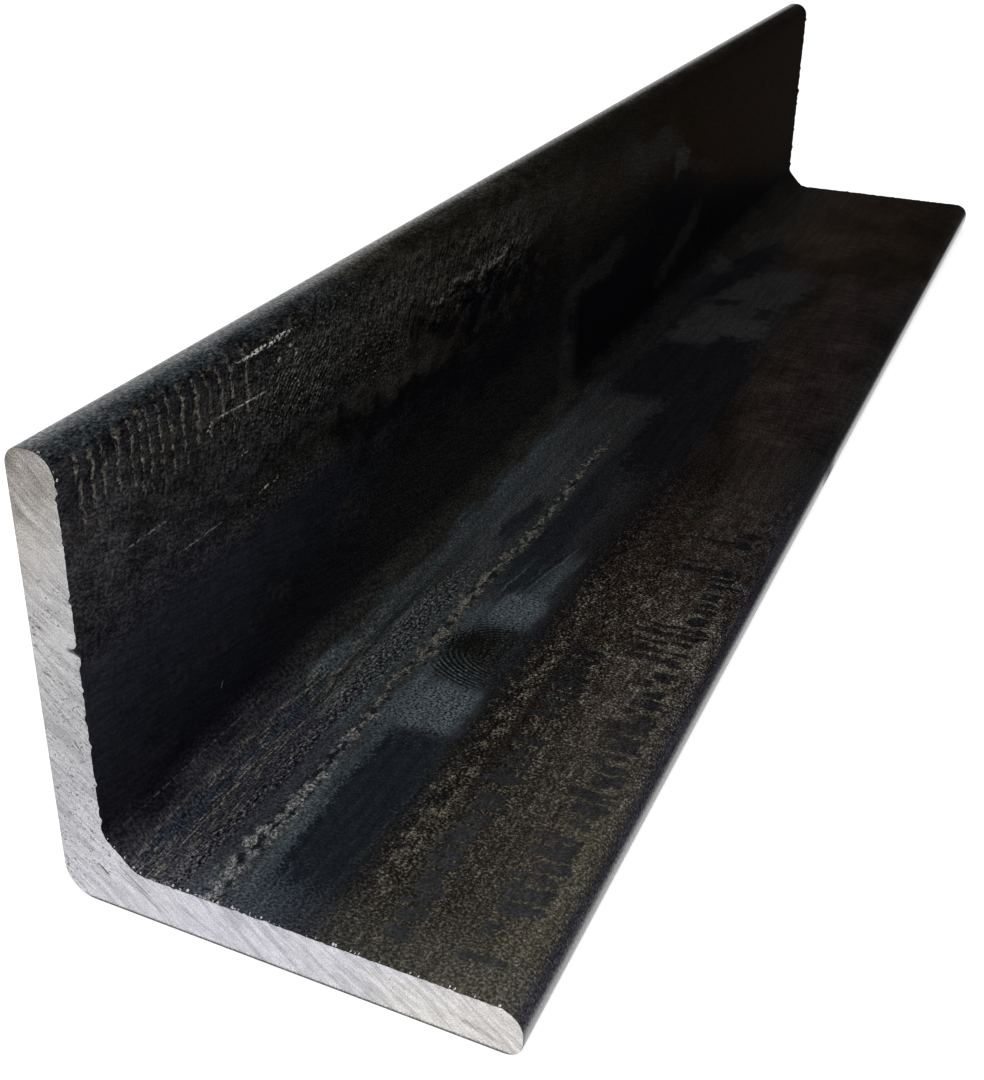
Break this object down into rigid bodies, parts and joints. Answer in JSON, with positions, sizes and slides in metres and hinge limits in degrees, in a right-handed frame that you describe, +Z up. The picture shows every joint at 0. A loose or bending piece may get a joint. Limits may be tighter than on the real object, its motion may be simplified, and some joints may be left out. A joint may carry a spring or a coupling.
{
  "type": "metal angle section",
  "caption": "Straight length of hot-rolled equal-leg steel angle, L-shaped in section, with sawn square ends.",
  "frame": {"origin": "middle of the bar's length, under the middle of the flat leg, on the floor plane", "axes": "+X across the flat leg from the heel to the toe, +Y along the bar, +Z up the standing leg"},
  "size_m": [0.05, 0.28, 0.05],
  "materials": {
    "black_rolled_steel": "satin"
  },
  "bodies": {
    "root": {"angle_bar": "black_rolled_steel"}
  },
  "joints": []
}
